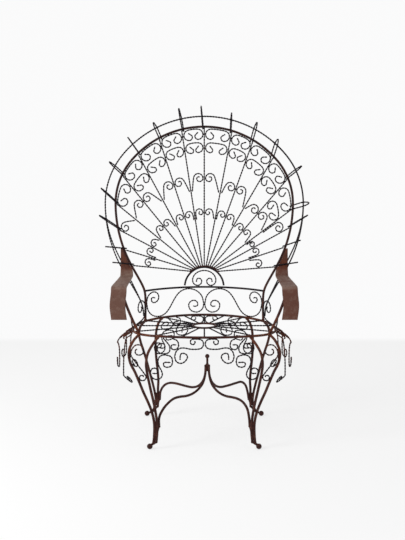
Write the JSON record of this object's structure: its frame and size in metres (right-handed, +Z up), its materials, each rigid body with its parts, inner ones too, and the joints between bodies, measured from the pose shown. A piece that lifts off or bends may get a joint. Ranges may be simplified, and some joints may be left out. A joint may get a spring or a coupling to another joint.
{
  "type": "garden armchair",
  "caption": "Wrought steel garden armchair with a tall fan back of spokes and scrolls, flat strap arms and a scrolled skirt.",
  "frame": {"origin": "middle of the chair's outline in plan, on the floor", "axes": "+Z up, -Y the way the chair faces, +X to the sitter's left"},
  "size_m": [0.815, 0.4826, 1.2424],
  "materials": {
    "bar_paint": "satin",
    "wire_paint": "matte",
    "strap_paint": "satin"
  },
  "bodies": {
    "root": {"arm_scroll_left": "wire_paint", "arm_scroll_right": "wire_paint", "arm_strap_left": "strap_paint", "arm_strap_right": "strap_paint", "arm_support_left": "bar_paint", "arm_support_right": "bar_paint", "back_hoop": "bar_paint", "finial_centre": "wire_paint", "finials_left": "wire_paint", "finials_right": "wire_paint", "foot_ball_front_left": "bar_paint", "foot_ball_front_right": "bar_paint", "foot_ball_rear_left": "bar_paint", "foot_ball_rear_right": "bar_paint", "hub_arch": "bar_paint", "hub_scroll": "wire_paint", "leg_curl_left": "wire_paint", "leg_curl_right": "wire_paint", "leg_inner_rod_front_left": "bar_paint", "leg_inner_rod_front_right": "bar_paint", "leg_inner_rod_rear_left": "bar_paint", "leg_inner_rod_rear_right": "bar_paint", "leg_outer_rod_front_left": "bar_paint", "leg_outer_rod_front_right": "bar_paint", "leg_outer_rod_rear_left": "bar_paint", "leg_outer_rod_rear_right": "bar_paint", "lower_back_scroll_left": "wire_paint", "lower_back_scroll_right": "wire_paint", "mid_rail": "bar_paint", "outer_ring_front": "wire_paint", "outer_ring_rear": "wire_paint", "scrolls_fourth_row_left": "wire_paint", "scrolls_fourth_row_right": "wire_paint", "scrolls_outer_row_left": "wire_paint", "scrolls_outer_row_right": "wire_paint", "scrolls_second_row_left": "wire_paint", "scrolls_second_row_right": "wire_paint", "scrolls_third_row_left": "wire_paint", "scrolls_third_row_right": "wire_paint", "seat_hub_ring": "bar_paint", "seat_ring": "bar_paint", "seat_wires_front": "wire_paint", "seat_wires_left": "wire_paint", "seat_wires_rear": "wire_paint", "seat_wires_right": "wire_paint", "skirt_front_left": "wire_paint", "skirt_front_right": "wire_paint", "skirt_rear_left": "wire_paint", "skirt_rear_right": "wire_paint", "skirt_side_left": "wire_paint", "skirt_side_right": "wire_paint", "spoke_centre": "wire_paint", "spokes_left": "wire_paint", "spokes_right": "wire_paint", "stretcher_finial": "bar_paint", "stretcher_front_left": "bar_paint", "stretcher_front_right": "bar_paint", "stretcher_rear_left": "bar_paint", "stretcher_rear_right": "bar_paint"}
  },
  "joints": []
}
